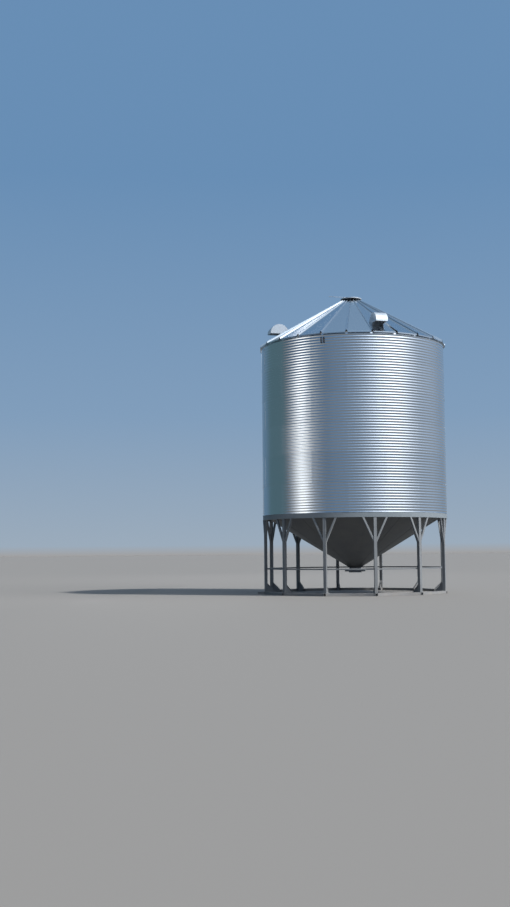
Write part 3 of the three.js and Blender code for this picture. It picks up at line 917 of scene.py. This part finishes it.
camera_data = bpy.data.cameras.new("camera")
camera_data.sensor_fit = "VERTICAL"
camera_data.sensor_height = 36
camera_data.lens = CAMERA_LENS
camera_data.clip_end = 5000
camera = bpy.data.objects.new("camera", camera_data)
camera.location = CAMERA_PLACE
turn = Matrix.Rotation(CAMERA_TURN, 3, "Z")
raise_up = Matrix.Rotation(math.radians(90) + CAMERA_RISE, 3, "X")
lean = Matrix.Rotation(CAMERA_LEAN, 3, "Z")
camera.rotation_euler = (turn @ raise_up @ lean).to_euler()
bpy.context.scene.collection.objects.link(camera)
bpy.context.scene.camera = camera


# Light: a sun at the right, a panel light behind, a soft dome, and a side panel to reflect

CAMERA_BEARING = 2.9
SILO_MIDDLE = Vector((0, 0, 6))
# Bearing from the camera's and height of each light, in degrees
SUN_TOWARD = (68, 46)
RIM_TOWARD = (-171.5, 25)
WARM_WHITE = (1.0, 0.99, 0.97)
COOL_WHITE = (0.82, 0.96, 1.15)
FAR_FLOOR = (0.345, 0.345, 0.345, 1)
# The side panel stands along the silo's left, with the cloth behind its edge
PANEL_X = -9
PANEL_FRONT = -20
PANEL_BACK = 12
PANEL_TOP = 15
CLOTH_EDGE = -2.4
# The dome's colours from straight down to straight up; the horizon is at 0.5
DOME_STOPS = [
    (0.0, (0.27, 0.29, 0.31)),
    (0.47, (0.27, 0.29, 0.31)),
    (0.494, (0.355, 0.355, 0.358)),
    (0.5, (0.355, 0.36, 0.37)),
    (0.503, (0.33, 0.41, 0.50)),
    (0.56, (0.22, 0.34, 0.50)),
    (0.66, (0.14, 0.27, 0.46)),
    (0.85, (0.14, 0.27, 0.46)),
    (0.885, (0.27, 0.40, 0.565)),
    (0.955, (0.34, 0.46, 0.60)),
]


def toward(bearing, height):
    """Unit vector to a bearing, in degrees right of the camera's, and a height in degrees."""
    level = outward(math.radians(bearing + CAMERA_BEARING)) * math.cos(math.radians(height))
    return level + Vector((0, 0, math.sin(math.radians(height))))


def lamp(name, kind, place, energy, **settings):
    """A light that shines at the silo's middle."""
    light = bpy.data.lights.new(name, kind)
    light.energy = energy
    for key, value in settings.items():
        setattr(light, key, value)
    holder = bpy.data.objects.new(name, light)
    holder.location = place
    holder.rotation_euler = (SILO_MIDDLE - holder.location).to_track_quat("-Z", "Y").to_euler()
    bpy.context.scene.collection.objects.link(holder)
    return holder


sun_place = SILO_MIDDLE + 60 * toward(*SUN_TOWARD)
sun = lamp("key", "SUN", sun_place, 8.0, angle=math.radians(3), color=(1.0, 0.97, 0.93))
sun.visible_glossy = False
rim_place = SILO_MIDDLE + 45 * toward(*RIM_TOWARD)
rim = lamp("rim", "AREA", rim_place, 1500, shape="RECTANGLE", size=8, size_y=20)
rim.visible_camera = False

world = bpy.data.worlds.new("studio")
world.use_nodes = True
world.node_tree.nodes.clear()
dome = Tree(world.node_tree)
direction = dome.part(dome.add("ShaderNodeTexCoord"), "Generated")
east, north, rise = dome.split(direction)


def glow(bearing, height, tightness):
    """A round soft light in the dome: 1 at its middle."""
    inputs = [direction, toward(bearing, height)]
    aimed = dome.add("ShaderNodeVectorMath", {"operation": "DOT_PRODUCT"}, inputs)
    return dome.part(aimed, "Value").work("MAXIMUM", 0.0) ** tightness


def summed(first, second):
    return dome.add("ShaderNodeVectorMath", {"operation": "ADD"}, [first, second])


tint = dome.add("ShaderNodeValToRGB", {"stops": DOME_STOPS}, [rise * 0.5 + 0.5])
warm = glow(60, 44, 12) * 2.9 + glow(110, 25, 8) * 0.3
cool = glow(40, 55, 9) * 0.9
# Dimmer in front and at the left, and in the floor's own grey where the floor ends
dimmer = dome.limit(north, -0.2, 0.2, 0.88, 1.0) * dome.limit(east, -0.85, -0.35, 0.5, 1.0)
floor_end = dome.limit(rise, -0.032, -0.028) * dome.limit(rise, 0.0, -0.0005)
total = dome.blend(floor_end, dome.scale(tint, dimmer), FAR_FLOOR)
total = summed(total, dome.scale(WARM_WHITE, warm))
total = summed(total, dome.scale(COOL_WHITE, cool))
backdrop = dome.add("ShaderNodeBackground", None, {"Color": total, "Strength": 1.0})
dome.add("ShaderNodeOutputWorld", None, {"Surface": backdrop})
bpy.context.scene.world = world


def bell(tree, value, middle, width):
    """1 at the middle, falling off smoothly over the width on both sides."""
    far = (value - middle) / width
    return (-(far * far)).work("EXPONENT")


def side_panel():
    """An upright panel at the left, seen only in reflections: a dark cloth by a tall soft light."""
    work = bmesh.new()
    corners = [(PANEL_FRONT, 0), (PANEL_BACK, 0), (PANEL_BACK, PANEL_TOP), (PANEL_FRONT, PANEL_TOP)]
    work.faces.new([work.verts.new((PANEL_X, y, z)) for y, z in corners])
    mesh = mesh_of("side_panel", work)
    cloth, tree = empty_material("panel_cloth")
    _, y, z = tree.split(tree.part(tree.add("ShaderNodeTexCoord"), "Object"))
    light = bell(tree, y, -6.65, 2.1) * 2.05 + bell(tree, y, -10.0, 4.5) * 0.5
    light = light * tree.limit(y, CLOTH_EDGE, CLOTH_EDGE - 0.5)
    light = light * tree.limit(z, 2.8, 6.0, 0.3, 1.0) * tree.limit(z, 10.5, 7.0)
    dark = tree.blend(tree.limit(y, 2.5, 5.0), (0.10, 0.18, 0.215, 1), (0.14, 0.24, 0.35, 1))
    bare = tree.add("ShaderNodeBsdfTransparent")
    shade = tree.add("ShaderNodeEmission", None, {"Color": dark})
    lit = tree.add("ShaderNodeEmission", None, {"Color": tree.scale(WARM_WHITE, light)})
    open_side = tree.add("ShaderNodeAddShader", None, [bare, lit])
    cloth_side = tree.limit(y, CLOTH_EDGE - 0.2, CLOTH_EDGE)
    whole = tree.add("ShaderNodeMixShader", None, [cloth_side, open_side, shade])
    tree.add("ShaderNodeOutputMaterial", None, {"Surface": whole})
    mesh.materials.append(cloth)
    panel = placed("side_panel", mesh)
    panel.visible_camera = panel.visible_diffuse = panel.visible_shadow = False


side_panel()
bpy.context.scene.view_settings.view_transform = "Standard"
